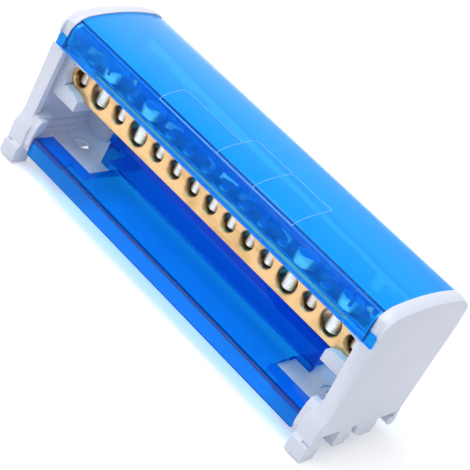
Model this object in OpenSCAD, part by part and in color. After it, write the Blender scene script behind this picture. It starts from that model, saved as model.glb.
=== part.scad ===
// Two-pole modular distribution block, 2 x 15 ways, for a 35 mm DIN rail.
// X runs along the bars, Y across the rail, Z away from the rail.
// The origin is under the middle of the part, at the tips of the latch lips.

/* [Overall] */

// Length over the two end caps
block_length = 135; // [120:0.5:150]
// Height from the latch lips to the crown of the end caps
block_height = 53.2; // [48:0.2:58]
// Half width of the end caps beside the cover
shell_half_width = 21.6; // [18:0.1:24]
// Half width of the end caps under the cover
waist_half_width = 19.9; // [17:0.1:23]
// Depth of the waist below the cover
waist_step = 0.4; // [0.2:0.1:2]
// Half width of the end caps at the rail side
foot_half_width = 18.7; // [16:0.1:22]
// Radius of the crown seen along the bars
crown_radius = 113; // [60:1:160]
// Radius of the shoulders beside the crown
shoulder_radius = 3; // [2:0.2:9]

/* [End caps] */

// Depth of the drafted edge round the outer face
edge_draft = 1.5; // [0.5:0.1:2]
// Half width of the outer face inside the drafted edge
face_inset = 1; // [0.4:0.1:2]
// Drop of the outer face's crown below the rim
face_drop = 0.7; // [0.4:0.1:2]
// Thickness of the end plate
plate_thickness = 2.2; // [1.6:0.1:3]
// Width of the rim around the crown
crown_rim_width = 3; // [2.4:0.1:4]
// Width of the rim beside the open wiring sides
side_rim_width = 4.3; // [3.6:0.1:6]
// Wall of the rim measured in from the outline
rim_wall = 2; // [1.2:0.1:3]
// Height of the underside of the end plate
plate_bottom = 8.4; // [6:0.1:12]
// Width of the rebate the cover sits on
ledge_wall = 1.6; // [1.2:0.1:2.4]
// Reach of the mounting flange from the outer face
flange_reach = 26.5; // [22:0.5:32]
// Reach of the flange under the tray lips
flange_side_reach = 20.3; // [16:0.1:26]
// Thickness of the mounting flange
flange_thickness = 1.4; // [1:0.1:3]
// Half width of the flange under the tray notches
flange_half_width = 12.6; // [10:0.2:16]
// Diameter of the panel screw hole
panel_hole_d = 4.8; // [3:0.1:6]
// Distance of the panel screw hole from the outer face
panel_hole_inset = 10.8; // [8:0.1:14]
// Diameter of the seat around the panel screw hole
panel_seat_d = 8.4; // [6:0.1:10]
// Depth of the seat
panel_seat_depth = 0.5; // [0.2:0.1:0.9]

/* [Bar supports] */

// Length of each support block
support_length = 9.2; // [6:0.1:14]
// Front of the support block from the mid plane
support_front = 14.8; // [13:0.1:17]
// Back of the support block from the mid plane
support_back = 4.6; // [3:0.1:6]
// Underside of the support block
support_bottom = 23.9; // [20:0.1:27]
// Top of the support block
support_top = 38; // [36:0.1:40]
// Fit clearance around the bar ends
socket_clearance = 0.05; // [0.02:0.01:0.2]
// Front face of the bracing post from the mid plane
post_front = 8.5; // [6:0.1:12]
// Width of the bracing post
post_width = 2.4; // [1.5:0.1:4]
// Length of the bracing post from the rim
post_length = 7.2; // [4:0.1:9]

/* [Rail fixing] */

// Width of the latch along the rail
latch_width = 6; // [4:0.1:8]
// Reach of the latch lip from the mid plane
latch_reach = 21.3; // [19:0.1:26]
// Thickness of the spring leg
latch_leg = 3; // [2:0.1:4]
// Gap of the spring
latch_gap = 1.2; // [0.8:0.1:2]
// Height of the top of the spring gap
latch_gap_top = 11.6; // [9:0.1:14]
// Height of the latch shoulder
latch_shoulder = 16.4; // [13:0.1:20]
// Height of the pull lip
lip_height = 5; // [3:0.1:7]
// Slot for a screwdriver in the lip
lip_slot = 1.1; // [0.6:0.1:2]
// Length of that slot from the outer face
lip_slot_length = 2.6; // [1:0.1:5]
// Depth of the feet along the rail
foot_depth = 6; // [4:0.1:8]
// Height of the tip of the first rail foot
first_foot_tip = 2.2; // [1:0.1:4]
// Height of the tip of the second rail foot
second_foot_tip = 3.1; // [1:0.1:5]
// Height of the tip of the fixed hook
hook_tip = 3.4; // [1:0.1:5]
// Width of the rail held between hook and latch
rail_width = 35; // [35:0.1:35.4]
// Thickness of the rail edge
rail_edge = 1; // [0.8:0.1:1.5]

/* [Tray] */

// Top of the tray floor
floor_top = 10.7; // [9:0.1:13]
// Thickness of the tray floor
floor_thickness = 1.45; // [1:0.05:2]
// Half width of the tray
tray_half_width = 19.2; // [17:0.1:22]
// Underside of the tray skirts
skirt_bottom = 4.7; // [3:0.1:8]
// Thickness of the tray skirts
skirt_thickness = 1.5; // [1:0.1:2]
// Distance of the tray ends from the outer faces
tray_end_inset = 8.3; // [6.2:0.1:9.5]
// Half width between the tray lips
notch_half_width = 11.2; // [9:0.1:13]
// Depth of the tray notch from the outer face on the first side
notch_reach = 26; // [20:0.1:30]
// Depth of the tray notch from the outer face on the second side
notch_short_reach = 21.6; // [18:0.1:28]
// Thickness of the partition between the poles
partition_thickness = 1.8; // [1.2:0.1:3]
// Top of the partition
partition_top = 46.4; // [40:0.1:48]
// Distance of the partition ends from the outer faces
partition_inset = 20.4; // [14:0.1:28]

/* [Cover] */

// Thickness of the cover
cover_thickness = 1.5; // [1:0.1:2.5]
// Cover surface below the rim of the end caps
cover_inset = 0.3; // [0.2:0.1:1.5]
// Raised step of the crown lens
lens_step = 0.4; // [0.2:0.1:0.8]
// Half width of the crown lens
lens_half_width = 16.9; // [10:0.1:18]
// Lower edge of the cover walls
cover_bottom = 39.6; // [36:0.1:42]
// Length of the corner tabs past the cover
tab_length = 2.4; // [1:0.1:2.8]
// Height of the corner tabs
tab_height = 3.7; // [2:0.1:5]
// Thickness of the corner tabs
tab_thickness = 1.2; // [0.8:0.1:2]

/* [Busbars] */

// Distance of the bar ends from the outer faces
bar_end_inset = 4.3; // [3:0.1:7]
// Height of the bars
bar_height = 10.2; // [8:0.1:13]
// Depth of the bars
bar_depth = 6.4; // [5:0.1:9]
// Front face of the bars from the mid plane
bar_front = 12.1; // [10:0.1:14]
// Height of the wire hole axes
wire_axis = 32.3; // [30:0.1:34]
// Diameter of the small wire holes
small_hole_d = 5.3; // [4:0.1:6]
// Diameter of the large wire holes
large_hole_d = 7.5; // [6:0.1:8.4]
// Chamfer at the mouth of the wire holes
mouth_chamfer = 0.35; // [0.1:0.05:0.6]
// Distance of the first hole from the bar end
first_way_inset = 4.64; // [4:0.02:8]
// Spacing beside a large hole as a share of the spacing between small holes
wide_gap_share = 1.117; // [1:0.001:1.4]

/* [Terminal screws] */

// Shank diameter of the small screws
small_shank_d = 3.9; // [3:0.1:4.5]
// Shank diameter of the large screws
large_shank_d = 4.9; // [4:0.1:6]
// Head diameter of the small screws
small_head_d = 5.6; // [4.5:0.1:6.5]
// Head diameter of the large screws
large_head_d = 7; // [6:0.1:8]
// Height of the screw heads
head_height = 3.4; // [2:0.1:5]
// Gap under the heads of the driven screws
head_gap = 0.4; // [0.3:0.1:1]
// Radial running clearance of the screws
screw_clearance = 0.05; // [0.02:0.01:0.1]
// Tip of the small screws below the hole axis
small_tip_drop = 1.9; // [0.5:0.1:2.2]
// Tip of the large screws below the hole axis
large_tip_drop = 2.9; // [1:0.1:3.3]
// Width of the driver slot
slot_width = 1; // [0.6:0.1:1.4]
// Depth of the driver slot
slot_depth = 1.6; // [0.8:0.1:2.4]

/* [Part] */

// Sub-part to show, or all of them

/* [Hidden] */

$fn = 48;

// Overlap of a cutter past a face, and the running gap between two moulded pieces
over = 1;
seat = 0.05;
least_fillet = 0.4;
ways = 15;
front = -1;
rear = 1;

half_length = block_length / 2;
mid_y = (max(latch_reach, shell_half_width) - shell_half_width) / 2;
waist_z = cover_bottom - waist_step;
shoulder_z = block_height - shoulder_radius - crown_drop(shell_half_width - shoulder_radius);
crown_rim_x = half_length - crown_rim_width;
side_rim_x = half_length - side_rim_width;
plate_x = half_length - plate_thickness;
cover_x = crown_rim_x - seat;
tab_x = cover_x + tab_length;
tab_top = cover_bottom + tab_height;
cover_half_width = shell_half_width - cover_inset - lens_step;
cover_inner = cover_inset + lens_step + cover_thickness;
flange_drop = 0.6;
flange_top = plate_bottom + flange_thickness - flange_drop;
flange_bottom = flange_top - flange_thickness;
lip_half_width = foot_half_width - rim_wall;
hook_inner = rail_width / 2;
hook_wrap = 1.6;
hook_outer = foot_half_width + 1.2;
rail_play = 0.3;
slot_bottom = flange_bottom - rail_edge - rail_play;
tray_x = half_length - tray_end_inset;
bar_middle = bar_front - bar_depth / 2;
bar_back = bar_front - bar_depth;
bar_top = wire_axis + bar_height / 2;
bar_end_radius = bar_height / 2;

// Large holes sit second and fourth from either end
large_ways = [2, 4, 12, 14];
wide_gaps = [1, 1, 1, 1, 0, 0, 0, 0, 0, 0, 1, 1, 1, 1];
bar_half_length = half_length - bar_end_inset;
row_length = 2 * (bar_half_length - first_way_inset);
small_pitch = row_length / gap_shares(ways - 1);

function crown_drop(y) = crown_radius - sqrt(crown_radius * crown_radius - y * y);
function gap_share(i) = wide_gaps[i] == 1 ? wide_gap_share : 1;
function gap_shares(n) = n == 0 ? 0 : gap_share(n - 1) + gap_shares(n - 1);
function way_x(n) = small_pitch * gap_shares(n - 1) - row_length / 2;
function is_large(n) = len(search(n, large_ways)) > 0;
function hole_d(n) = is_large(n) ? large_hole_d : small_hole_d;
function shank_d(n) = is_large(n) ? large_shank_d : small_shank_d;
function head_d(n) = is_large(n) ? large_head_d : small_head_d;
function tip_z(n) = wire_axis - (is_large(n) ? large_tip_drop : small_tip_drop);

// Extrude a drawing in the Y-Z plane from x0 to x1
module along_x(x0, x1) {
    translate([x0, 0, 0]) rotate([90, 0, 90]) linear_extrude(x1 - x0) children();
}

// Box by its corners
module box(x0, x1, y0, y1, z0, z1) {
    translate([x0, y0, z0]) cube([x1 - x0, y1 - y0, z1 - z0]);
}

// Crowned outline above the waist, set in by a margin
module crown_outline(margin) {
    corner = max(shoulder_radius - margin, least_fillet);
    side = shell_half_width - margin;
    corner_z = shoulder_z + shoulder_radius - margin - corner;
    intersection() {
        union() {
            translate([-side, waist_z + margin]) square([2 * side, corner_z - waist_z - margin]);
            translate([-side + corner, corner_z - over])
                square([2 * (side - corner), block_height - corner_z + over]);
            for (end = [front, rear])
                translate([end * (side - corner), corner_z]) circle(r = corner);
        }
        translate([0, block_height - crown_radius]) circle(r = crown_radius - margin, $fn = 240);
    }
}

// Outline of an end cap seen along the bars, set in by a margin
module shell_outline(margin) {
    crown_outline(margin);
    lower_outline(margin);
}

// Tapered outline from the rail side up past the waist, set in by a margin
module lower_outline(margin) {
    bottom = foot_half_width - margin;
    waist = waist_half_width - margin;
    polygon([
        [-bottom, plate_bottom + margin], [bottom, plate_bottom + margin],
        [waist, waist_z + margin + over], [-waist, waist_z + margin + over]
    ]);
}

// Cone along X that narrows towards the outer face
module face_cone(y, z, r, inset) {
    translate([half_length - edge_draft, y, z]) rotate([0, 90, 0])
        cylinder(r1 = r, r2 = r - inset, h = edge_draft, $fn = r > shell_half_width ? 240 : $fn);
}

// Outer layer of the crown, drawn in all round towards the outer face
module drafted_edge() {
    corner_y = shell_half_width - shoulder_radius;
    inner = half_length - edge_draft;
    intersection() {
        union() {
            translate([0, 0, waist_z]) linear_extrude(shoulder_z - waist_z) polygon([
                [inner, -shell_half_width], [half_length, -shell_half_width + face_inset],
                [half_length, shell_half_width - face_inset], [inner, shell_half_width]
            ]);
            box(inner, half_length, -corner_y, corner_y, shoulder_z - over, block_height);
            for (end = [front, rear]) face_cone(end * corner_y, shoulder_z, shoulder_radius, face_inset);
        }
        face_cone(0, block_height - crown_radius, crown_radius, face_drop);
    }
}

// End plate with the drafted edge, the crown rim, the side rim and the rebate for the cover
module cap_shell() {
    difference() {
        union() {
            along_x(crown_rim_x, half_length - edge_draft) crown_outline(0);
            drafted_edge();
            along_x(crown_rim_x, half_length) lower_outline(0);
        }
        along_x(crown_rim_x - over, plate_x) shell_outline(cover_inner + ledge_wall);
    }
    difference() {
        along_x(side_rim_x, crown_rim_x + seat) lower_outline(0);
        along_x(side_rim_x - over, half_length) shell_outline(rim_wall);
        box(side_rim_x - over, half_length, -block_length, block_length, waist_z, block_height);
    }
    difference() {
        intersection() {
            along_x(side_rim_x, crown_rim_x + seat) shell_outline(cover_inner + seat);
            box(side_rim_x - over, half_length, -block_length, block_length,
                cover_bottom - over, block_height);
        }
        along_x(side_rim_x - over, half_length) shell_outline(cover_inner + ledge_wall);
    }
}

// Notches and lift channels for the four corner tabs of the cover
module tab_notches() {
    box(side_rim_x - over, half_length + over, -shell_half_width - over,
        -cover_half_width + tab_thickness + seat, cover_bottom - seat, tab_top + seat);
    for (side = [front, rear]) {
        y0 = side * (shell_half_width + over);
        y1 = side * (cover_half_width - tab_thickness - seat);
        box(crown_rim_x - over, tab_x + seat, min(y0, y1), max(y0, y1), cover_bottom - seat, block_height);
    }
}

// Flange under the tray with the panel screw hole
module cap_flange() {
    difference() {
        union() {
            box(half_length - flange_reach, plate_x + seat, -flange_half_width, flange_half_width,
                flange_bottom, flange_top);
            box(half_length - flange_side_reach, plate_x + seat, -lip_half_width, lip_half_width,
                flange_bottom, flange_top);
        }
        translate([half_length - panel_hole_inset, 0, flange_bottom - over])
            cylinder(d = panel_hole_d, h = flange_thickness + 2 * over);
        translate([half_length - panel_hole_inset, 0, flange_top - panel_seat_depth])
            cylinder(d = panel_seat_d, h = over);
    }
    box(side_rim_x - post_length, plate_x + seat, post_front, post_front + post_width,
        flange_top - seat, support_bottom + seat);
}

// Bar end outline in the X-Z plane, grown by a clearance
module bar_outline(grow) {
    straight = bar_half_length - bar_end_radius;
    square([2 * straight, bar_height + 2 * grow], center = true);
    for (end = [-1, 1]) translate([end * straight, 0]) circle(r = bar_end_radius + grow);
}

// Extrude a drawing in the X-Z plane between two planes facing the wiring side
module along_y(y0, y1) {
    translate([0, y1, 0]) rotate([90, 0, 0]) linear_extrude(y1 - y0) children();
}

// Support block with the rounded socket that carries a bar end
module bar_support(side) {
    y0 = side * support_front;
    y1 = side * support_back;
    socket_back = side * (bar_back - socket_clearance);
    socket_front = side * (support_front + over);
    lip_back = side * (bar_front + socket_clearance);
    inner_x = side_rim_x - support_length;
    difference() {
        box(inner_x, plate_x + seat, min(y0, y1), max(y0, y1), support_bottom, support_top);
        along_y(min(socket_front, socket_back), max(socket_front, socket_back))
            translate([0, wire_axis]) bar_outline(socket_clearance);
        // Opening for the last screw and its driver
        box(inner_x - over, way_x(ways) + small_head_d / 2 + head_gap,
            min(lip_back, socket_back), max(lip_back, socket_back), wire_axis, support_top + over);
    }
}

// Spring latch on the wiring side that faces the release tool
module rail_latch() {
    leg_inner = -latch_reach + lip_slot + latch_leg - 0.4;
    body_edge = leg_inner + latch_gap;
    difference() {
        along_x(half_length - latch_width, half_length) polygon([
            [-foot_half_width + 0.1, latch_shoulder], [-latch_reach + 1.8, latch_shoulder - 2.4],
            [-latch_reach + 0.6, latch_shoulder - 5], [-latch_reach + 0.9, lip_height + 1.2],
            [-latch_reach, lip_height], [-latch_reach, 0.6], [-latch_reach + 0.6, 0],
            [-rail_width / 2 + 2.4, 0], [-rail_width / 2 + 2.6, 3.8], [-rail_width / 2 + 1, slot_bottom],
            [leg_inner, slot_bottom + 0.4], [leg_inner, latch_gap_top],
            [leg_inner + latch_gap / 2, latch_gap_top + 0.5],
            [body_edge, latch_gap_top], [body_edge, plate_bottom], [-foot_half_width + 6, plate_bottom],
            [-foot_half_width + 6, latch_shoulder]
        ]);
        box(half_length - lip_slot_length, half_length + over,
            -latch_reach - over, -latch_reach + lip_slot, lip_height + 0.2, lip_height + over);
    }
}

// Feet and fixed hook that grip the rail
module rail_feet() {
    x0 = half_length - foot_depth;
    along_x(x0, half_length) polygon([
        [-8.6, plate_bottom + over], [-8.6, first_foot_tip + 1.4], [-7.8, first_foot_tip],
        [-2.6, first_foot_tip], [-1.8, first_foot_tip + 2], [-3.4, plate_bottom + over]
    ]);
    along_x(x0, half_length) polygon([
        [-1.2, plate_bottom + over], [0.6, second_foot_tip + 1.6], [4, second_foot_tip],
        [9, second_foot_tip], [9.6, second_foot_tip + 2.4], [9, plate_bottom + over]
    ]);
    along_x(x0, half_length) polygon([
        [hook_inner + 0.2, plate_bottom + over], [hook_inner + 0.2, slot_bottom],
        [hook_inner - hook_wrap, slot_bottom], [hook_inner - hook_wrap, hook_tip + 1.6],
        [hook_inner, hook_tip], [hook_outer - 0.8, hook_tip],
        [hook_outer, hook_tip + 1.2], [foot_half_width + 0.3, plate_bottom + over]
    ]);
}

module end_cap() {
    color("lavender") translate([0, mid_y, 0]) {
        difference() {
            union() {
                difference() {
                    cap_shell();
                    box(side_rim_x - over, plate_x,
                        -foot_half_width - over, foot_half_width + over, 0, plate_bottom);
                }
                rail_latch();
                rail_feet();
                cap_flange();
                for (side = [front, rear]) bar_support(side);
            }
            tab_notches();
        }
    }
}

module end_cap_right() { end_cap(); }
module end_cap_left() { mirror([1, 0, 0]) end_cap(); }

// Tray floor with its skirts, end notches and the partition between the poles
module base_tray() {
    color("dodgerblue", 0.6) translate([0, mid_y, 0]) {
        difference() {
            union() {
                box(-tray_x, tray_x, -tray_half_width, tray_half_width,
                    floor_top - floor_thickness, floor_top);
                for (side = [front, rear]) {
                    y0 = side * tray_half_width;
                    y1 = side * (tray_half_width - skirt_thickness);
                    box(-tray_x, tray_x, min(y0, y1), max(y0, y1), skirt_bottom, floor_top);
                }
            }
            for (end = [-1, 1]) {
                x_near = end * (half_length - notch_reach);
                x_step = end * (half_length - notch_short_reach);
                x_far = end * half_length;
                box(min(x_near, x_far), max(x_near, x_far), -notch_half_width, -partition_thickness / 2,
                    0, floor_top + over);
                box(min(x_step, x_far), max(x_step, x_far), -partition_thickness, notch_half_width,
                    0, floor_top + over);
            }
        }
        box(-half_length + partition_inset, half_length - partition_inset,
            -partition_thickness / 2, partition_thickness / 2, floor_top - floor_thickness, partition_top);
    }
}

// Outline of the cover, with its raised crown lens
module cover_outline() {
    shell_outline(cover_inset + lens_step);
    intersection() {
        shell_outline(cover_inset);
        translate([-lens_half_width, shoulder_z]) square([2 * lens_half_width, block_height]);
    }
    for (side = [front, rear]) {
        y0 = side * cover_half_width;
        translate([min(y0, y0 - side * cover_thickness), cover_bottom])
            square([cover_thickness, shoulder_z - cover_bottom]);
    }
}

module top_cover() {
    color("deepskyblue", 0.6) translate([0, mid_y, 0]) {
        intersection() {
            difference() {
                along_x(-cover_x, cover_x) cover_outline();
                along_x(-half_length, half_length) shell_outline(cover_inner);
            }
            box(-half_length, half_length, -block_length, block_length, cover_bottom, block_height);
        }
        for (end = [-1, 1], side = [front, rear]) {
            x0 = end * (cover_x - over);
            x1 = end * tab_x;
            y0 = side * cover_half_width;
            y1 = side * (cover_half_width - tab_thickness);
            box(min(x0, x1), max(x0, x1), min(y0, y1), max(y0, y1), cover_bottom, tab_top);
        }
    }
}

// Brass bar with cross-drilled wire holes and a tapped hole above each
module busbar(side) {
    y_front = side * bar_front;
    y_back = side * bar_back;
    color("goldenrod") translate([0, mid_y, 0]) difference() {
        along_y(min(y_front, y_back), max(y_front, y_back)) translate([0, wire_axis]) bar_outline(0);
        for (n = [1:ways]) translate([way_x(n), 0, wire_axis]) {
            translate([0, side * (bar_front + over), 0]) rotate([side * 90, 0, 0])
                cylinder(d = hole_d(n), h = bar_depth + 2 * over);
            translate([0, side * (bar_front + seat), 0]) rotate([side * 90, 0, 0])
                cylinder(d1 = hole_d(n) + 2 * (mouth_chamfer + seat), d2 = hole_d(n),
                    h = mouth_chamfer + seat);
            translate([0, side * bar_middle, 0])
                cylinder(d = shank_d(n) + 2 * screw_clearance, h = bar_height);
        }
    }
}

module front_busbar() { busbar(front); }
module rear_busbar() { busbar(rear); }

// Slotted clamp screw, driven down onto an empty wire hole
module terminal_screw(side, n) {
    head_base = bar_top + head_gap;
    color("silver") translate([way_x(n), mid_y + side * bar_middle, 0]) difference() {
        union() {
            translate([0, 0, tip_z(n)]) cylinder(d = shank_d(n), h = head_base - tip_z(n) + over);
            translate([0, 0, head_base]) cylinder(d = head_d(n), h = head_height);
        }
        translate([0, 0, head_base + head_height - slot_depth / 2 + over / 2])
            cube([head_d(n) + over, slot_width, slot_depth + over], center = true);
    }
}

module front_screw_01() { terminal_screw(front, 1); }
module front_screw_02() { terminal_screw(front, 2); }
module front_screw_03() { terminal_screw(front, 3); }
module front_screw_04() { terminal_screw(front, 4); }
module front_screw_05() { terminal_screw(front, 5); }
module front_screw_06() { terminal_screw(front, 6); }
module front_screw_07() { terminal_screw(front, 7); }
module front_screw_08() { terminal_screw(front, 8); }
module front_screw_09() { terminal_screw(front, 9); }
module front_screw_10() { terminal_screw(front, 10); }
module front_screw_11() { terminal_screw(front, 11); }
module front_screw_12() { terminal_screw(front, 12); }
module front_screw_13() { terminal_screw(front, 13); }
module front_screw_14() { terminal_screw(front, 14); }
module front_screw_15() { terminal_screw(front, 15); }
module rear_screw_01() { terminal_screw(rear, 1); }
module rear_screw_02() { terminal_screw(rear, 2); }
module rear_screw_03() { terminal_screw(rear, 3); }
module rear_screw_04() { terminal_screw(rear, 4); }
module rear_screw_05() { terminal_screw(rear, 5); }
module rear_screw_06() { terminal_screw(rear, 6); }
module rear_screw_07() { terminal_screw(rear, 7); }
module rear_screw_08() { terminal_screw(rear, 8); }
module rear_screw_09() { terminal_screw(rear, 9); }
module rear_screw_10() { terminal_screw(rear, 10); }
module rear_screw_11() { terminal_screw(rear, 11); }
module rear_screw_12() { terminal_screw(rear, 12); }
module rear_screw_13() { terminal_screw(rear, 13); }
module rear_screw_14() { terminal_screw(rear, 14); }
module rear_screw_15() { terminal_screw(rear, 15); }

end_cap_right();
end_cap_left();
base_tray();
top_cover();
front_busbar();
rear_busbar();
front_screw_01();
front_screw_02();
front_screw_03();
front_screw_04();
front_screw_05();
front_screw_06();
front_screw_07();
front_screw_08();
front_screw_09();
front_screw_10();
front_screw_11();
front_screw_12();
front_screw_13();
front_screw_14();
front_screw_15();
rear_screw_01();
rear_screw_02();
rear_screw_03();
rear_screw_04();
rear_screw_05();
rear_screw_06();
rear_screw_07();
rear_screw_08();
rear_screw_09();
rear_screw_10();
rear_screw_11();
rear_screw_12();
rear_screw_13();
rear_screw_14();
rear_screw_15();
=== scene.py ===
import math

import bmesh
import bpy
from mathutils import Matrix, Vector
from mathutils.bvhtree import BVHTree


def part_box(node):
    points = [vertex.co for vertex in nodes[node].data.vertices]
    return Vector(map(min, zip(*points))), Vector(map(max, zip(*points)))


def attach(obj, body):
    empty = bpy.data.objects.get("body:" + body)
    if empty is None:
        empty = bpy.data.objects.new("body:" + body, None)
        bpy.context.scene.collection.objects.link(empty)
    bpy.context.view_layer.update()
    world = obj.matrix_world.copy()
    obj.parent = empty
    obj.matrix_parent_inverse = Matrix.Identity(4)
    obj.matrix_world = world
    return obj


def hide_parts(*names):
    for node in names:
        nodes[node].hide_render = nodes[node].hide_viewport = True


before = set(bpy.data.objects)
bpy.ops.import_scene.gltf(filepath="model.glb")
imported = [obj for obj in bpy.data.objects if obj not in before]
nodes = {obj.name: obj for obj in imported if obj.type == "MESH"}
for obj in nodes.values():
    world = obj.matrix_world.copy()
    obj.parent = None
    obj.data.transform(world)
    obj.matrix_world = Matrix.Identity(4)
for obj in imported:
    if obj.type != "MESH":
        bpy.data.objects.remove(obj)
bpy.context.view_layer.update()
mm = 0.001

ways = range(1, 16)
sides = ("front", "rear")


# small helpers for shader trees
def newMaterial(name):
    made = bpy.data.materials.new(name)
    made.use_nodes = True
    made.node_tree.nodes.clear()
    return made, made.node_tree


def addNode(tree, kind, **values):
    made = tree.nodes.new(kind)
    for key, value in values.items():
        if hasattr(made, key):
            setattr(made, key, value)
        else:
            made.inputs[key.replace("_", " ")].default_value = value
    return made


def objectPoint(tree, scale=(1, 1, 1)):
    coords = addNode(tree, "ShaderNodeTexCoord")
    mapping = addNode(tree, "ShaderNodeMapping")
    mapping.inputs["Scale"].default_value = scale
    tree.links.new(coords.outputs["Object"], mapping.inputs["Vector"])
    return mapping.outputs["Vector"]


def noise(tree, scale, detail=3.0, stretch=(1, 1, 1), roughness=0.5):
    made = addNode(tree, "ShaderNodeTexNoise", Scale=scale, Detail=detail, Roughness=roughness)
    tree.links.new(objectPoint(tree, stretch), made.inputs["Vector"])
    return made.outputs["Fac"]


def ramp(tree, source, stops):
    made = addNode(tree, "ShaderNodeValToRGB")
    band = made.color_ramp
    while len(band.elements) < len(stops):
        band.elements.new(0.5)
    for element, (place, colour) in zip(band.elements, stops):
        element.position = place
        element.color = (*colour, 1) if len(colour) == 3 else colour
    tree.links.new(source, made.inputs["Fac"])
    return made.outputs["Color"]


def spread(tree, source, low, high):
    made = addNode(tree, "ShaderNodeMapRange")
    made.inputs["To Min"].default_value = low
    made.inputs["To Max"].default_value = high
    tree.links.new(source, made.inputs["Value"])
    return made.outputs["Result"]


def bump(tree, height, strength, distance, normal=None):
    made = addNode(tree, "ShaderNodeBump", Strength=strength, Distance=distance)
    tree.links.new(height, made.inputs["Height"])
    if normal is not None:
        tree.links.new(normal, made.inputs["Normal"])
    return made.outputs["Normal"]


def finishSurface(tree, colour, roughness, normal, **values):
    shader = addNode(tree, "ShaderNodeBsdfPrincipled", **values)
    out = addNode(tree, "ShaderNodeOutputMaterial")
    tree.links.new(colour, shader.inputs["Base Color"])
    tree.links.new(roughness, shader.inputs["Roughness"])
    tree.links.new(normal, shader.inputs["Normal"])
    tree.links.new(shader.outputs["BSDF"], out.inputs["Surface"])
    return shader


# finishes
capFinish = {
    "pale": (0.72, 0.76, 0.88),
    "deep": (0.68, 0.72, 0.84),
    "roughLow": 0.34,
    "roughHigh": 0.46,
    "cloudScale": 45,       # slow change of colour over the moulding
    "waveScale": 120,       # shallow sink marks
    "waveDepth": 0.0002,
    "grainScale": 2600,     # fine texture of the mould
    "grainDepth": 0.00003,
    "ior": 1.48,
}


def makeCapPlastic():
    made, tree = newMaterial("capPlastic")
    cloud = noise(tree, capFinish["cloudScale"], 2)
    grain = noise(tree, capFinish["grainScale"], 2)
    colour = ramp(tree, cloud, [(0.3, capFinish["deep"]), (0.7, capFinish["pale"])])
    rough = spread(tree, grain, capFinish["roughLow"], capFinish["roughHigh"])
    wave = bump(tree, noise(tree, capFinish["waveScale"], 2), 0.10, capFinish["waveDepth"])
    texture = bump(tree, grain, 0.12, capFinish["grainDepth"], wave)
    finishSurface(tree, colour, rough, texture, IOR=capFinish["ior"])
    return made


blueFinish = {
    "coverDye": ((0.002, 0.17, 0.98), (0.008, 0.22, 1.00)),    # what the plastic scatters back
    "trayDye": ((0.002, 0.12, 0.66), (0.006, 0.17, 0.80)),
    "lensDye": (0.005, 0.37, 1.00, 1),
    # painted shade: dark navy for the line beside the lens step, the line along the cover's ends
    # and the band on top of the tray's skirt
    "paintedShadeDye": (0.000, 0.035, 0.26, 1),
    "lipDye": (0.06, 0.32, 0.90, 1),
    "coverTint": (0.36, 0.92, 1.00, 1),      # what each face lets through
    "trayTint": (0.10, 0.62, 0.97, 1),
    "shade": (0.45, 0.85, 1.00, 1),          # what lamps and sky cast through a wall
    "coverBody": 0.24,      # share of dyed body in the mix with clear glass
    "trayBody": 0.22,
    "lensBody": 0.72,       # the raised lens is hazed on its inside
    # share of dyed body where that painted shade is drawn, so the dark colour shows
    "paintedShadeBody": 0.85,
    "lipBody": 0.7,
    "shoulderBody": 0.30,
    "coverGloss": 0.15,
    "trayGloss": 0.5,
    "glassIor": 1.12,       # low, because each wall is two faces of one thin sheet
    "glassRough": 0.015,
    "bodyIor": 1.46,
    "roughLow": 0.05,
    "roughHigh": 0.10,
    "flowScale": 28,        # streaks from the moulding, drawn out along the part
    "patchScale": 300,
    "waveScale": 60,
    "waveDepth": 0.0003,
    "lensHalfWidth": 16.9,
    "lensLow": 47.0,
    "stepMiddle": 0.15,     # step beside the lens, out from its half width, where a painted shade line is drawn
    "stepReach": 0.16,
    # the cover's ends, where a painted shadow line along the rim is drawn
    "coverEnd": 63.45,
    "endMiddle": 0.2,
    "endReach": 0.22,
    "lipHeight": 0.28,
    "shoulderLow": 45.0,
    # top of the tray's skirt wall, where a painted shade band is drawn
    "skirtTop": 9.9,
    "skirtInner": 17.75,
}


def within(tree, source, centre, reach):
    made = addNode(tree, "ShaderNodeMath", operation="COMPARE")
    made.inputs[1].default_value = centre * mm
    made.inputs[2].default_value = reach * mm
    tree.links.new(source, made.inputs[0])
    return made.outputs[0]


def above(tree, source, low, reach):
    return within(tree, source, low + reach, reach)


def joinMasks(tree, operation, first, second):
    made = addNode(tree, "ShaderNodeMath", operation=operation)
    tree.links.new(first, made.inputs[0])
    tree.links.new(second, made.inputs[1])
    return made.outputs[0]


def unfold(tree):
    # distances from the middle of the part, and height
    split = tree.nodes.new("ShaderNodeSeparateXYZ")
    tree.links.new(objectPoint(tree), split.inputs[0])
    found = []
    for axis in ("X", "Y"):
        made = addNode(tree, "ShaderNodeMath", operation="ABSOLUTE")
        tree.links.new(split.outputs[axis], made.inputs[0])
        found.append(made.outputs[0])
    return found[0], found[1], split.outputs["Z"]


def blend(tree, mask, first, second):
    made = addNode(tree, "ShaderNodeMix", data_type="RGBA")
    tree.links.new(mask, made.inputs["Factor"])
    tree.links.new(first, made.inputs[6])
    made.inputs[7].default_value = second
    return made.outputs[2]


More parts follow.
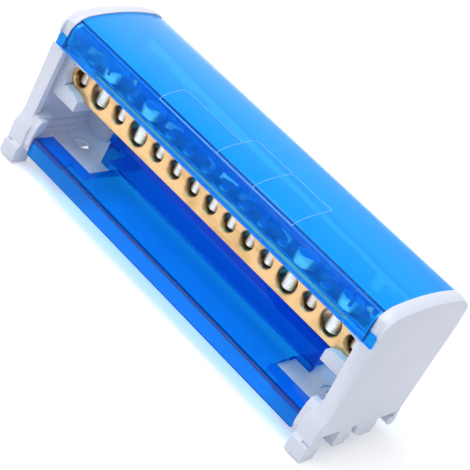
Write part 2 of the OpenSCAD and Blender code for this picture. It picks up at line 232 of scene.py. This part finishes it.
def clearPlastic(tree, colour, body, tint, gloss):
    # dyed body, clear glass and, for lamps and sky, plain tinted passage
    patch = noise(tree, blueFinish["patchScale"], 3)
    rough = spread(tree, patch, blueFinish["roughLow"], blueFinish["roughHigh"])
    ripple = noise(tree, blueFinish["waveScale"], 2, (0.4, 1, 1))
    wave = bump(tree, ripple, 0.10, blueFinish["waveDepth"])
    shader = finishSurface(tree, colour, rough, wave,
                           IOR=blueFinish["bodyIor"], Specular_IOR_Level=gloss)
    glass = addNode(tree, "ShaderNodeBsdfGlass", Color=tint,
                    Roughness=blueFinish["glassRough"], IOR=blueFinish["glassIor"])
    passing = addNode(tree, "ShaderNodeBsdfTransparent", Color=blueFinish["shade"])
    path = tree.nodes.new("ShaderNodeLightPath")
    cloudy = tree.nodes.new("ShaderNodeMixShader")
    whole = tree.nodes.new("ShaderNodeMixShader")
    out = next(node for node in tree.nodes if node.bl_idname == "ShaderNodeOutputMaterial")
    tree.links.new(wave, glass.inputs["Normal"])
    tree.links.new(body, cloudy.inputs[0])
    tree.links.new(glass.outputs[0], cloudy.inputs[1])
    tree.links.new(shader.outputs[0], cloudy.inputs[2])
    tree.links.new(path.outputs["Is Shadow Ray"], whole.inputs[0])
    tree.links.new(cloudy.outputs[0], whole.inputs[1])
    tree.links.new(passing.outputs[0], whole.inputs[2])
    tree.links.new(whole.outputs[0], out.inputs["Surface"])


def streaks(tree, dyes):
    flow = noise(tree, blueFinish["flowScale"], 3, (0.35, 1, 1))
    return ramp(tree, flow, [(0.35, dyes[0]), (0.65, dyes[1])])


def makeCoverPlastic():
    made, tree = newMaterial("coverPlastic")
    finish = blueFinish
    colour = streaks(tree, finish["coverDye"])
    along, across, height = unfold(tree)
    top = above(tree, height, finish["lensLow"], 10)
    lens = joinMasks(tree, "MULTIPLY", top, within(tree, across, 0, finish["lensHalfWidth"]))
    # painted shade: a dark line beside the lens step and a painted shadow line along the cover's
    # ends at the rim
    stepY = finish["lensHalfWidth"] + finish["stepMiddle"]
    step = joinMasks(tree, "MULTIPLY", top, within(tree, across, stepY, finish["stepReach"]))
    endShadowLine = within(tree, along, finish["coverEnd"] + finish["endMiddle"], finish["endReach"])
    edge = joinMasks(tree, "MAXIMUM", step, endShadowLine)
    lip = within(tree, height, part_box("top_cover")[0].z / mm, finish["lipHeight"])
    shoulder = above(tree, height, finish["shoulderLow"], 10)
    colour = blend(tree, lens, colour, finish["lensDye"])
    # paint those shade lines dark navy, with a mostly opaque body
    colour = blend(tree, edge, colour, finish["paintedShadeDye"])
    colour = blend(tree, lip, colour, finish["lipDye"])
    body = spread(tree, shoulder, finish["coverBody"], finish["shoulderBody"])
    for mask, share in ((lens, finish["lensBody"]), (edge, finish["paintedShadeBody"]),
                        (lip, finish["lipBody"])):
        body = joinMasks(tree, "MAXIMUM", body, spread(tree, mask, 0.0, share))
    clearPlastic(tree, colour, body, finish["coverTint"], finish["coverGloss"])
    return made


def makeTrayPlastic():
    made, tree = newMaterial("trayPlastic")
    across, height = unfold(tree)[1:]
    # painted shade: a dark navy band on top of the skirt wall along its front and rear, drawn
    # mostly opaque
    rail = above(tree, height, blueFinish["skirtTop"], 2)
    edge = joinMasks(tree, "MULTIPLY", rail, above(tree, across, blueFinish["skirtInner"], 5))
    colour = blend(tree, edge, streaks(tree, blueFinish["trayDye"]), blueFinish["paintedShadeDye"])
    body = spread(tree, edge, blueFinish["trayBody"], blueFinish["paintedShadeBody"])
    clearPlastic(tree, colour, body, blueFinish["trayTint"], blueFinish["trayGloss"])
    return made


brassFinish = {
    "dark": (0.50, 0.31, 0.12),
    "light": (0.78, 0.52, 0.26),
    "lineScale": 900,       # drawing lines along the bar
    "lineDepth": 0.00004,
    "lineShare": 0.45,
    "stainScale": 130,
    "roughLow": 0.22,
    "roughHigh": 0.40,
}


def makeBrass():
    made, tree = newMaterial("barBrass")
    streak = noise(tree, brassFinish["lineScale"], 4, (0.04, 1, 1))
    stain = noise(tree, brassFinish["stainScale"], 4)
    both = addNode(tree, "ShaderNodeMath", operation="MULTIPLY_ADD")
    both.inputs[1].default_value = brassFinish["lineShare"]
    tree.links.new(streak, both.inputs[0])
    tree.links.new(stain, both.inputs[2])
    colour = ramp(tree, both.outputs[0],
                  [(0.45, brassFinish["dark"]), (0.75, brassFinish["light"])])
    rough = spread(tree, streak, brassFinish["roughLow"], brassFinish["roughHigh"])
    finishSurface(tree, colour, rough, bump(tree, streak, 0.25, brassFinish["lineDepth"]),
                  Metallic=1.0)
    return made


steelFinish = {
    "dark": (0.72, 0.73, 0.75),
    "light": (0.92, 0.92, 0.94),
    "patchScale": 500,      # uneven plating
    "grainScale": 3000,
    "grainDepth": 0.00002,
    "roughLow": 0.32,
    "roughHigh": 0.48,
}


def makeSteel():
    made, tree = newMaterial("screwSteel")
    patch = noise(tree, steelFinish["patchScale"], 4)
    colour = ramp(tree, patch, [(0.35, steelFinish["dark"]), (0.65, steelFinish["light"])])
    rough = spread(tree, patch, steelFinish["roughLow"], steelFinish["roughHigh"])
    grain = bump(tree, noise(tree, steelFinish["grainScale"], 2), 0.15, steelFinish["grainDepth"])
    finishSurface(tree, colour, rough, grain, Metallic=1.0)
    return made


capPlastic = makeCapPlastic()
trayPlastic = makeTrayPlastic()
coverPlastic = makeCoverPlastic()
barBrass = makeBrass()
screwSteel = makeSteel()
print("finishes made")


# rounded copies of the moulded and machined pieces
edgeRound = {
    "end_cap_right": (capPlastic, "cap_plastic", "housing", 0.30),
    "end_cap_left": (capPlastic, "cap_plastic", "housing", 0.30),
    "base_tray": (trayPlastic, "tray_plastic", "housing", 0.25),
    "top_cover": (coverPlastic, "cover_plastic", "cover", 0.22),
    "front_busbar": (barBrass, "bar_brass", "housing", 0.15),
    "rear_busbar": (barBrass, "bar_brass", "housing", 0.15),
}


crownShape = {
    "waist": 39.2,          # everything above is part of the crowned top
    "waistHalf": 19.9,      # half width of the walls at the waist
    "waistShare": 0.06,
    "solidHalf": 21.6,      # sizes of the plain solids
    "solidTop": 53.2,
    "solidRadius": 113.0,
    "solidShoulder": 3.0,
    "solidRim": 64.5,
    "half": 20.2,           # sizes of the moulded crown
    "top": 52.0,
    "radius": 85.0,
    "shoulderStart": 14.5,
    "shoulderLow": 44.2,
    "sideStart": 17.0,
    "tabTop": 43.6,
    "rim": 63.6,
    "rimStart": 60.0,
}

barEndShape = {
    "axis": 32.3,           # height of the row of wire holes
    "neckStart": 53.4,
    "neckEnd": 56.6,
    "straight": 58.1,       # the round end starts here
    "share": 0.735,         # share of its height that the bar keeps at its end
    "reach": 0.82,          # and of the round end's length
    "edgeLow": 4.3,         # the top and bottom edges lie between these rises
    "edgeHigh": 5.3,
    "nearSide": 5.4,        # a bar and its socket lie between these half widths
    "farSide": 14.9,
    "tipStart": 3.4,
    "tipEnd": 5.3,
}


def solidCrown(y):
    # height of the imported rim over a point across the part
    radius, shoulder = crownShape["solidRadius"], crownShape["solidShoulder"]
    reach = crownShape["solidHalf"] - shoulder
    drop = radius - math.sqrt(radius ** 2 - min(y, reach) ** 2)
    flat = crownShape["solidTop"] - drop
    if y <= reach:
        return flat
    return flat - shoulder + math.sqrt(max(shoulder ** 2 - (y - reach) ** 2, 0))


def softCrown(y):
    # height of the moulded crown over the same point
    crown = crownShape["top"] - y * y / (2 * crownShape["radius"])
    start, low = crownShape["shoulderStart"], crownShape["shoulderLow"]
    out = min(max(y - start, 0) / (crownShape["half"] - start + 0.02), 1)
    return low + (crown - low) * math.sqrt(1 - out * out)


def reshapeCrown(work):
    # softer shoulders, a slightly lower crown and a wider rim than the plain solid has
    side, half, solidHalf = crownShape["sideStart"], crownShape["half"], crownShape["solidHalf"]
    rimStart, rim, solidRim = crownShape["rimStart"], crownShape["rim"], crownShape["solidRim"]
    waist, waistHalf = crownShape["waist"], crownShape["waistHalf"]
    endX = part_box("end_cap_right")[1].x / mm
    for vert in work.verts:
        x, y, z = (value / mm for value in vert.co)
        if z < waist - 0.1:
            continue
        signX, signY = math.copysign(1, x), math.copysign(1, y)
        x, y = abs(x), abs(y)
        top = solidCrown(min(y, solidHalf))
        if z < waist + 0.15:
            y = min(y, waistHalf) + max(y - waistHalf, 0) * crownShape["waistShare"]
        elif y > side:
            y = side + (y - side) * (half - side) / (solidHalf - side)
        if z > crownShape["tabTop"]:
            low = crownShape["tabTop"]
            z = low + (z - low) * (softCrown(y) - low) / (top - low)
        if rimStart < x <= solidRim:
            x = rimStart + (x - rimStart) * (rim - rimStart) / (solidRim - rimStart)
        elif x > solidRim:
            x = rim + (x - solidRim) * (endX - rim) / (endX - solidRim)
        vert.co = Vector((signX * x, signY * y, z)) * mm


def inBarEnd(x, y, rise):
    # points of a bar's end, or of the socket around it, that move
    shape = barEndShape
    along = shape["neckStart"] - 0.01 <= x <= shape["straight"] + shape["tipEnd"]
    across = shape["nearSide"] < y < shape["farSide"] and rise <= shape["edgeHigh"]
    atEdge = shape["edgeLow"] < rise < shape["edgeHigh"]
    return along and across and (atEdge or x >= shape["straight"] + shape["tipStart"])


def neckEnds(work):
    # the bars and their sockets narrow to a ring around the last hole
    first, last = barEndShape["neckStart"], barEndShape["neckEnd"]
    for cutX in (-last, -first, first, last):
        every = work.verts[:] + work.edges[:] + work.faces[:]
        bmesh.ops.bisect_plane(work, geom=every, dist=0.00001,
                               plane_co=(cutX * mm, 0, 0), plane_no=(1, 0, 0))
    for vert in work.verts:
        x, y, z = (value / mm for value in vert.co)
        rise = z - barEndShape["axis"]
        if not inBarEnd(abs(x), abs(y), abs(rise)):
            continue
        share = 1 + (barEndShape["share"] - 1) * min((abs(x) - first) / (last - first), 1)
        past = max(abs(x) - barEndShape["straight"], 0)
        newX = math.copysign(abs(x) - past * (1 - barEndShape["reach"]), x)
        vert.co = Vector((newX, y, barEndShape["axis"] + rise * share)) * mm


copySetup = {"merge": 0.004, "flatAngle": 0.6, "bevelAngle": 32, "sharpAngle": 38}


def roundedCopy(nodeName, material, body, width):
    mesh = nodes[nodeName].data.copy()
    mesh.name = nodeName + "Rounded"
    work = bmesh.new()
    work.from_mesh(mesh)
    bmesh.ops.remove_doubles(work, verts=work.verts, dist=copySetup["merge"] * mm)
    bmesh.ops.dissolve_limit(work, angle_limit=math.radians(copySetup["flatAngle"]),
                             verts=work.verts, edges=work.edges)
    if material in (capPlastic, barBrass):
        neckEnds(work)
    if material in (capPlastic, coverPlastic):
        reshapeCrown(work)
    work.to_mesh(mesh)
    work.free()
    piece = bpy.data.objects.new(nodeName + "Rounded", mesh)
    bpy.context.collection.objects.link(piece)
    mesh.materials.clear()
    mesh.materials.append(material)
    bevel = piece.modifiers.new("edges", "BEVEL")
    bevel.width = width * mm
    bevel.segments = 2
    bevel.limit_method = "ANGLE"
    bevel.angle_limit = math.radians(copySetup["bevelAngle"])
    bevel.use_clamp_overlap = True
    bevel.harden_normals = False
    view = bpy.context.evaluated_depsgraph_get()
    smooth = bpy.data.meshes.new_from_object(piece.evaluated_get(view))
    piece.modifiers.clear()
    piece.data = smooth
    smooth.shade_smooth()
    smooth.set_sharp_from_angle(angle=math.radians(copySetup["sharpAngle"]))
    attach(piece, body)
    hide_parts(nodeName)
    return piece


for nodeName, (material, slotName, body, width) in edgeRound.items():
    roundedCopy(nodeName, material, body, width)
print("rounded copies made")


# inner arm of each spring latch
latchArm = {
    "start": 59.35,
    "end": 61.7,
    "round": 0.35,
    "profile": ((-18.4, 16.3), (-19.5, 14.2), (-19.9, 11.0), (-19.9, 7.6), (-18.9, 5.2),
                (-17.2, 5.2), (-17.2, 11.6), (-16.0, 12.4), (-16.0, 16.3)),
}


def makeLatchArm(name, side):
    work = bmesh.new()
    ends = [[work.verts.new((side * x * mm, y * mm, z * mm)) for y, z in latchArm["profile"]]
            for x in (latchArm["start"], latchArm["end"])]
    work.faces.new(ends[0])
    work.faces.new(ends[1][::-1])
    count = len(latchArm["profile"])
    for i in range(count):
        after = (i + 1) % count
        work.faces.new((ends[0][i], ends[1][i], ends[1][after], ends[0][after]))
    bmesh.ops.recalc_face_normals(work, faces=work.faces)
    mesh = bpy.data.meshes.new(name)
    work.to_mesh(mesh)
    work.free()
    mesh.materials.append(capPlastic)
    piece = bpy.data.objects.new(name, mesh)
    bpy.context.collection.objects.link(piece)
    bevel = piece.modifiers.new("edges", "BEVEL")
    bevel.width = latchArm["round"] * mm
    bevel.segments = 2
    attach(piece, "housing")


makeLatchArm("latchArmRight", 1)
makeLatchArm("latchArmLeft", -1)
print("latch arms made")


def setInput(modifier, label, value):
    for item in modifier.node_group.interface.items_tree:
        if item.item_type == "SOCKET" and item.in_out == "INPUT" and item.name == label:
            modifier[item.identifier] = value


# ruled table printed on the cover
printSetup = {
    "crossLines": (-27.2, -2.7, 12.3, 28.3),
    "cellEnds": (-8.0, -2.0, -2.0),
    "nearLine": -17.5,
    "corner": 1.5,          # rounded corner of each cell
    "cornerShare": 0.3,
    "lineRadius": 0.11,
    "step": 1.0,
    "drop": 0.06,           # height from which the lines are dropped on the cover, in metres
    "ink": (0.25, 0.62, 1.0, 1),
    "deepInk": (0.16, 0.50, 0.98),
}


def makePrintTree():
    tree = bpy.data.node_groups.new("ruledLine", "GeometryNodeTree")
    face = tree.interface
    face.new_socket("Geometry", in_out="INPUT", socket_type="NodeSocketGeometry")
    face.new_socket("Line radius", in_out="INPUT", socket_type="NodeSocketFloat")
    face.new_socket("Finish", in_out="INPUT", socket_type="NodeSocketMaterial")
    face.new_socket("Geometry", in_out="OUTPUT", socket_type="NodeSocketGeometry")
    given = tree.nodes.new("NodeGroupInput")
    result = tree.nodes.new("NodeGroupOutput")
    path = tree.nodes.new("GeometryNodeMeshToCurve")
    section = addNode(tree, "GeometryNodeCurvePrimitiveCircle", Resolution=6)
    sweep = tree.nodes.new("GeometryNodeCurveToMesh")
    sweep.inputs["Fill Caps"].default_value = True
    real = tree.nodes.new("GeometryNodeRealizeInstances")
    coat = tree.nodes.new("GeometryNodeSetMaterial")
    link = tree.links.new
    link(given.outputs["Geometry"], path.inputs["Mesh"])
    link(given.outputs["Line radius"], section.inputs["Radius"])
    link(path.outputs["Curve"], sweep.inputs["Curve"])
    link(section.outputs["Curve"], sweep.inputs["Profile Curve"])
    link(sweep.outputs["Mesh"], real.inputs[0])
    link(real.outputs[0], coat.inputs["Geometry"])
    link(given.outputs["Finish"], coat.inputs["Material"])
    link(coat.outputs[0], result.inputs[0])
    return tree


def printPaths():
    cross, near, corner = printSetup["crossLines"], printSetup["nearLine"], printSetup["corner"]
    paths = [[(cross[0], near), (cross[-1], near)]]
    for left, right, far in zip(cross, cross[1:], printSetup["cellEnds"]):
        inset = corner * printSetup["cornerShare"]
        paths.append([(left, near), (left, far - corner), (left + inset, far - inset),
                      (left + corner, far), (right, far)])
    paths.append([(cross[-1], near), (cross[-1], printSetup["cellEnds"][-1])])
    return paths


def drawPrint(coverPiece):
    ink, tree = newMaterial("tableInk")
    colour = ramp(tree, noise(tree, 400, 2),
                  [(0.3, printSetup["deepInk"]), (0.7, printSetup["ink"])])
    finishSurface(tree, colour, spread(tree, noise(tree, 900, 2), 0.45, 0.60),
                  bump(tree, noise(tree, 2500, 2), 0.10, 0.00002), IOR=1.45)
    surface = BVHTree.FromPolygons([vert.co for vert in coverPiece.data.vertices],
                                   [face.vertices[:] for face in coverPiece.data.polygons])
    points, edges = [], []
    for path in printPaths():
        for (x0, y0), (x1, y1) in zip(path, path[1:]):
            count = max(int(math.hypot(x1 - x0, y1 - y0) / printSetup["step"]), 1)
            for i in range(count + 1):
                x, y = x0 + (x1 - x0) * i / count, y0 + (y1 - y0) * i / count
                start = Vector((x * mm, y * mm, printSetup["drop"]))
                hit = surface.ray_cast(start, Vector((0, 0, -1)))[0]
                if i > 0:
                    edges.append((len(points) - 1, len(points)))
                points.append(hit)
    mesh = bpy.data.meshes.new("ruledTable")
    mesh.from_pydata(points, edges, [])
    piece = bpy.data.objects.new("ruledTable", mesh)
    bpy.context.collection.objects.link(piece)
    modifier = piece.modifiers.new("build", "NODES")
    modifier.node_group = makePrintTree()
    setInput(modifier, "Line radius", printSetup["lineRadius"] * mm)
    setInput(modifier, "Finish", ink)
    view = bpy.context.evaluated_depsgraph_get()
    made = bpy.data.meshes.new_from_object(piece.evaluated_get(view))
    piece.modifiers.clear()
    piece.data = made
    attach(piece, "cover")


drawPrint(bpy.data.objects["top_coverRounded"])
print("table printed")


# clamp screws
screwSizes = {
    "headRise": 3.4,        # height of the head
    "largeHead": 3.1,       # a head with a larger radius is a large screw's
    "shankSmall": 1.95,
    "shankLarge": 2.45,
    "pitchSmall": 0.70,
    "pitchLarge": 0.80,
    "threadDepth": 0.22,
    "slotWidth": 1.0,
    "slotDepth": 1.6,
    "turnResolution": 20,
    "turnStep": 47,         # degrees from one way's slot to the next
    "turnRear": 13,
    "edge": 0.18,
    "edgeAngle": 70,
}


def makeScrewTree():
    tree = bpy.data.node_groups.new("clampScrew", "GeometryNodeTree")
    face = tree.interface
    for label in ("Shank radius", "Shank length", "Pitch", "Thread depth", "Head radius",
                  "Head height", "Slot width", "Slot depth"):
        face.new_socket(label, in_out="INPUT", socket_type="NodeSocketFloat")
    face.new_socket("Finish", in_out="INPUT", socket_type="NodeSocketMaterial")
    face.new_socket("Geometry", in_out="OUTPUT", socket_type="NodeSocketGeometry")
    given = tree.nodes.new("NodeGroupInput")
    result = tree.nodes.new("NodeGroupOutput")
    link = tree.links.new

    def value(operation, first, second):
        made = addNode(tree, "ShaderNodeMath", operation=operation)
        for socket, entry in zip(made.inputs, (first, second)):
            if isinstance(entry, (int, float)):
                socket.default_value = entry
            else:
                link(entry, socket)
        return made.outputs[0]

    def place(geometry, height):
        made = tree.nodes.new("GeometryNodeTransform")
        combine = tree.nodes.new("ShaderNodeCombineXYZ")
        link(height, combine.inputs["Z"])
        link(combine.outputs[0], made.inputs["Translation"])
        link(geometry, made.inputs["Geometry"])
        return made.outputs["Geometry"]

    # core of the shank, hanging from the underside of the head
    core = addNode(tree, "GeometryNodeMeshCylinder", Vertices=28)
    coreRadius = value("SUBTRACT", given.outputs["Shank radius"], given.outputs["Thread depth"])
    link(coreRadius, core.inputs["Radius"])
    link(given.outputs["Shank length"], core.inputs["Depth"])
    coreLow = place(core.outputs["Mesh"], value("MULTIPLY", given.outputs["Shank length"], -0.5))

    # helical ridge
    endGap = value("MULTIPLY", given.outputs["Pitch"], 0.9)
    run = value("SUBTRACT", given.outputs["Shank length"], endGap)
    spiral = addNode(tree, "GeometryNodeCurveSpiral", Resolution=screwSizes["turnResolution"])
    ridgeRadius = value("SUBTRACT", given.outputs["Shank radius"], given.outputs["Thread depth"])
    link(value("DIVIDE", run, given.outputs["Pitch"]), spiral.inputs["Rotations"])
    link(ridgeRadius, spiral.inputs["Start Radius"])
    link(ridgeRadius, spiral.inputs["End Radius"])
    link(run, spiral.inputs["Height"])
    ridge = addNode(tree, "GeometryNodeCurvePrimitiveCircle", Resolution=4)
    link(given.outputs["Thread depth"], ridge.inputs["Radius"])
    sweep = tree.nodes.new("GeometryNodeCurveToMesh")
    sweep.inputs["Fill Caps"].default_value = True
    link(spiral.outputs["Curve"], sweep.inputs["Curve"])
    link(ridge.outputs["Curve"], sweep.inputs["Profile Curve"])
    lift = value("MULTIPLY", given.outputs["Shank length"], -1.0)
    halfGap = value("MULTIPLY", given.outputs["Pitch"], 0.45)
    threadLow = place(sweep.outputs["Mesh"], value("ADD", lift, halfGap))

    # head with a driver slot cut across it
    head = addNode(tree, "GeometryNodeMeshCylinder", Vertices=36)
    link(given.outputs["Head radius"], head.inputs["Radius"])
    link(given.outputs["Head height"], head.inputs["Depth"])
    headUp = place(head.outputs["Mesh"], value("MULTIPLY", given.outputs["Head height"], 0.5))
    cutter = tree.nodes.new("GeometryNodeMeshCube")
    size = tree.nodes.new("ShaderNodeCombineXYZ")
    link(value("MULTIPLY", given.outputs["Head radius"], 3.0), size.inputs["X"])
    link(given.outputs["Slot width"], size.inputs["Y"])
    link(value("MULTIPLY", given.outputs["Slot depth"], 2.0), size.inputs["Z"])
    link(size.outputs[0], cutter.inputs["Size"])
    cutterUp = place(cutter.outputs["Mesh"], given.outputs["Head height"])
    cut = addNode(tree, "GeometryNodeMeshBoolean", operation="DIFFERENCE")
    link(headUp, cut.inputs[0])
    link(cutterUp, cut.inputs[1])

    joined = tree.nodes.new("GeometryNodeJoinGeometry")
    for part in (cut.outputs["Mesh"], threadLow, coreLow):
        link(part, joined.inputs[0])
    real = tree.nodes.new("GeometryNodeRealizeInstances")
    coat = tree.nodes.new("GeometryNodeSetMaterial")
    link(joined.outputs[0], real.inputs[0])
    link(real.outputs[0], coat.inputs["Geometry"])
    link(given.outputs["Finish"], coat.inputs["Material"])
    link(coat.outputs[0], result.inputs[0])
    return tree


def bakeTree(name, tree, inputs):
    holder = bpy.data.objects.new(name, bpy.data.meshes.new(name))
    bpy.context.collection.objects.link(holder)
    modifier = holder.modifiers.new("build", "NODES")
    modifier.node_group = tree
    for label, value in inputs.items():
        setInput(modifier, label, value)
    view = bpy.context.evaluated_depsgraph_get()
    made = bpy.data.meshes.new_from_object(holder.evaluated_get(view))
    holder.modifiers.clear()
    bpy.data.objects.remove(holder)
    made.name = name
    return made


screwTree = makeScrewTree()


def isLargeScrew(low, high):
    return (high.x - low.x) / 2 > screwSizes["largeHead"] * mm


def screwMesh(nodeName):
    low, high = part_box(nodeName)
    size = "Large" if isLargeScrew(low, high) else "Small"
    headBase = high.z - screwSizes["headRise"] * mm
    return bakeTree(nodeName + "Thread", screwTree, {
        "Shank radius": screwSizes["shank" + size] * mm,
        "Shank length": headBase - low.z,
        "Pitch": screwSizes["pitch" + size] * mm,
        "Thread depth": screwSizes["threadDepth"] * mm,
        "Head radius": (high.x - low.x) / 2,
        "Head height": screwSizes["headRise"] * mm,
        "Slot width": screwSizes["slotWidth"] * mm,
        "Slot depth": screwSizes["slotDepth"] * mm,
        "Finish": screwSteel,
    })


def placeScrew(side, way, mesh):
    nodeName = f"{side}_screw_{way:02d}"
    low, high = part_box(nodeName)
    middle = (low + high) / 2
    headBase = high.z - screwSizes["headRise"] * mm
    degrees = way * screwSizes["turnStep"] + (screwSizes["turnRear"] if side == "rear" else 0)
    turn = Matrix.Rotation(math.radians(degrees % 180), 4, "Z")
    mesh.transform(Matrix.Translation((middle.x, middle.y, headBase)) @ turn)
    piece = bpy.data.objects.new(f"{side}Screw{way:02d}", mesh)
    bpy.context.collection.objects.link(piece)
    bevel = piece.modifiers.new("edges", "BEVEL")
    bevel.width = screwSizes["edge"] * mm
    bevel.segments = 1
    bevel.limit_method = "ANGLE"
    bevel.angle_limit = math.radians(screwSizes["edgeAngle"])
    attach(piece, nodeName)
    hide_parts(nodeName)


screwMeshes = {}    # one mesh for the small screws and one for the large
for side in sides:
    for way in ways:
        nodeName = f"{side}_screw_{way:02d}"
        isLarge = isLargeScrew(*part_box(nodeName))
        if isLarge not in screwMeshes:
            screwMeshes[isLarge] = screwMesh(nodeName)
        placeScrew(side, way, screwMeshes[isLarge].copy())
print("screws made")


# floor, light and camera
stageSetup = {
    "floorHeight": -0.0004,
    "floorSize": 4.0,
    "floorPaint": (0.86, 0.86, 0.87, 1),
    "floorGlow": 0.35,
    "skyStrength": 0.66,
    "lampTarget": (0, 0, 0.02),
    "keyPlace": (-0.25, -0.25, 0.90),
    "keySize": (0.7, 0.5),
    "keyPower": 5.0,
    "fillPlace": (0.75, -0.20, 0.35),
    "fillSize": (0.5, 0.5),
    "fillPower": 0.15,
}


def seenRays(tree):
    # one for rays that show the backdrop: straight, in metal or through glass
    path = tree.nodes.new("ShaderNodeLightPath")
    plain = joinMasks(tree, "MAXIMUM", path.outputs["Is Camera Ray"], path.outputs["Is Glossy Ray"])
    return joinMasks(tree, "MAXIMUM", plain, path.outputs["Is Transmission Ray"])


def makeFloor():
    half = stageSetup["floorSize"] / 2
    z = stageSetup["floorHeight"]
    corners = [(-half, -half, z), (half, -half, z), (half, half, z), (-half, half, z)]
    mesh = bpy.data.meshes.new("floor")
    mesh.from_pydata(corners, [], [(0, 1, 2, 3)])
    floor = bpy.data.objects.new("floor", mesh)
    bpy.context.collection.objects.link(floor)
    made, tree = newMaterial("floorPaint")
    paint = addNode(tree, "ShaderNodeBsdfDiffuse", Color=stageSetup["floorPaint"])
    lift = addNode(tree, "ShaderNodeEmission", Color=(1, 1, 1, 1))
    level = addNode(tree, "ShaderNodeMath", operation="MULTIPLY")
    level.inputs[1].default_value = stageSetup["floorGlow"]
    tree.links.new(seenRays(tree), level.inputs[0])
    tree.links.new(level.outputs[0], lift.inputs["Strength"])
    total = tree.nodes.new("ShaderNodeAddShader")
    out = tree.nodes.new("ShaderNodeOutputMaterial")
    tree.links.new(paint.outputs[0], total.inputs[0])
    tree.links.new(lift.outputs[0], total.inputs[1])
    tree.links.new(total.outputs[0], out.inputs["Surface"])
    mesh.materials.append(made)


def makeSky():
    world = bpy.data.worlds.new("studio")
    bpy.context.scene.world = world
    world.use_nodes = True
    tree = world.node_tree
    tree.nodes.clear()
    back = addNode(tree, "ShaderNodeBackground", Color=(1, 1, 1, 1))
    level = spread(tree, seenRays(tree), stageSetup["skyStrength"], 1.0)
    tree.links.new(level, back.inputs["Strength"])
    out = tree.nodes.new("ShaderNodeOutputWorld")
    tree.links.new(back.outputs[0], out.inputs["Surface"])


def addLamp(name, place, size, power):
    data = bpy.data.lights.new(name, "AREA")
    data.shape = "RECTANGLE"
    data.size, data.size_y = size
    data.energy = power
    lamp = bpy.data.objects.new(name, data)
    bpy.context.collection.objects.link(lamp)
    lamp.location = place
    aim = Vector(stageSetup["lampTarget"]) - Vector(place)
    lamp.rotation_euler = aim.to_track_quat("-Z", "Y").to_euler()


cameraSetup = {
    "place": (0.21972, -0.37803, 0.25859),
    "right": (0.6415, 0.6335, 0.4326),
    "up": (-0.632, 0.117, 0.7661),
    "lens": 134.4,
}


def makeCamera():
    data = bpy.data.cameras.new("camera")
    data.sensor_width = 36
    data.lens = cameraSetup["lens"]
    data.clip_start, data.clip_end = 0.01, 20
    camera = bpy.data.objects.new("camera", data)
    bpy.context.collection.objects.link(camera)
    right = Vector(cameraSetup["right"]).normalized()
    up = Vector(cameraSetup["up"])
    up = (up - right * up.dot(right)).normalized()
    back = right.cross(up)
    turn = Matrix((right, up, back)).transposed().to_4x4()
    camera.matrix_world = Matrix.Translation(cameraSetup["place"]) @ turn
    bpy.context.scene.camera = camera


makeFloor()
makeSky()
for label in ("key", "fill"):
    addLamp(label + "Lamp", stageSetup[label + "Place"], stageSetup[label + "Size"],
            stageSetup[label + "Power"])
makeCamera()
bpy.context.scene.view_settings.view_transform = "Standard"
print("stage made")
